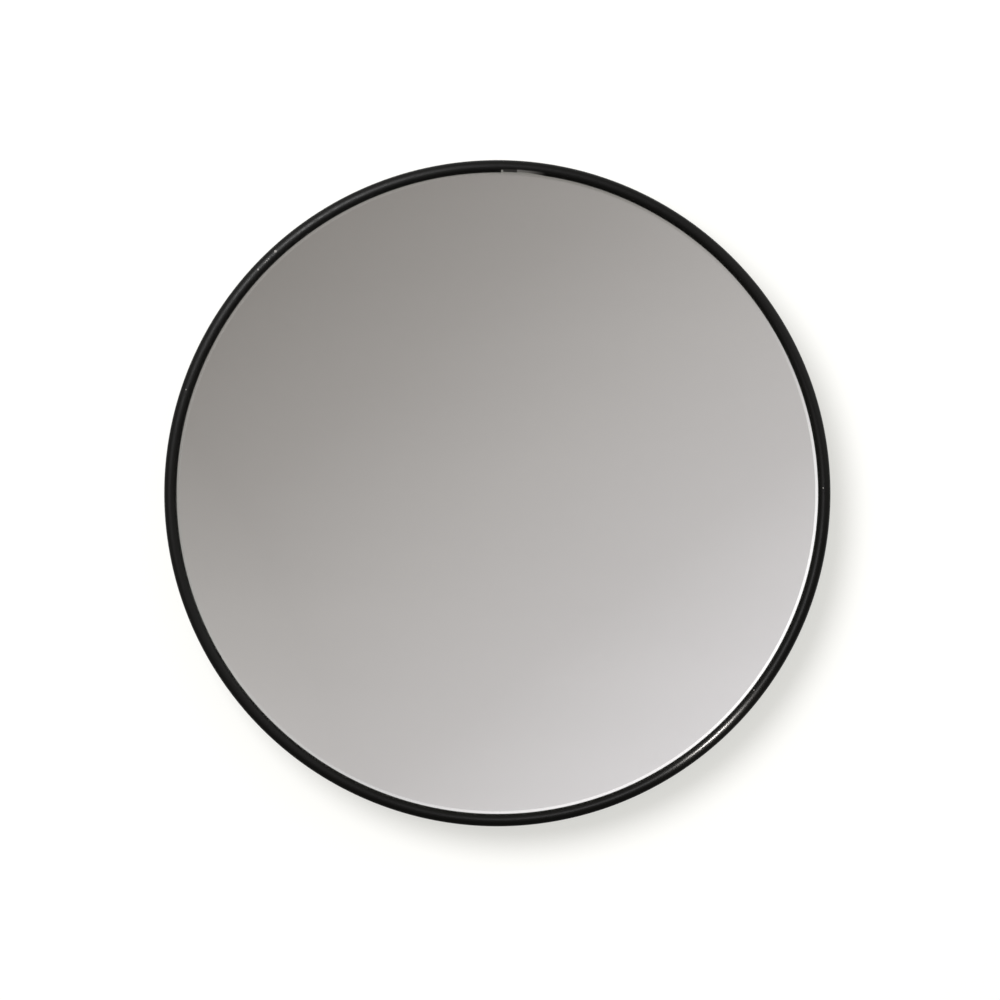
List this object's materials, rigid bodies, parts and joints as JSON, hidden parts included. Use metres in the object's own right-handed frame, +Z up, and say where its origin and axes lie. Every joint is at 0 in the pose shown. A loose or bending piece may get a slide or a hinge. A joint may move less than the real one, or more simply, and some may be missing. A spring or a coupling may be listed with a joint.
{
  "type": "magnifying makeup mirror",
  "caption": "Round magnifying makeup mirror: concave bevelled glass in a thin gloss black rim, closed by a back whose keyhole sockets hang on suction cups stuck to a smooth wall.",
  "frame": {"origin": "middle of the circle through the suction cups, on the wall plane", "axes": "+Z up, +Y into the wall, the glass faces -Y, +X to the right of someone who looks into the mirror"},
  "size_m": [0.15, 0.0162, 0.15],
  "materials": {
    "rim_gloss_black": "moulded high gloss",
    "clear_glass": "polished, ground edge",
    "silver": "silvered, painted behind",
    "grey_foam": "closed-cell foam",
    "shell_black": "fine moulded grain",
    "clear_pvc": "soft clear PVC, smooth"
  },
  "bodies": {
    "cup_top": {"suction_cup_top": "clear_pvc"},
    "mirror": {"front_rim": "rim_gloss_black", "mirror_glass": "clear_glass", "silver_backing": "silver", "foam_ring": "grey_foam", "centre_foam_pad": "grey_foam", "back_shell": "shell_black"},
    "cup_left": {"suction_cup_left": "clear_pvc"},
    "cup_right": {"suction_cup_right": "clear_pvc"}
  },
  "joints": [
    {"name": "mirror_lift", "type": "slide", "parent": "cup_top", "child": "mirror", "axis": [0, 0, 1], "range_m": [0, 0.01]},
    {"name": "cup_left_slide", "type": "slide", "parent": "mirror", "child": "cup_left", "axis": [0, 0, -1], "range_m": [0, 0.01]},
    {"name": "cup_right_slide", "type": "slide", "parent": "mirror", "child": "cup_right", "axis": [0, 0, -1], "range_m": [0, 0.01]}
  ],
  "couplings": [
    {"joint": "cup_left_slide", "follows": "mirror_lift", "ratio": 1},
    {"joint": "cup_right_slide", "follows": "mirror_lift", "ratio": 1}
  ]
}
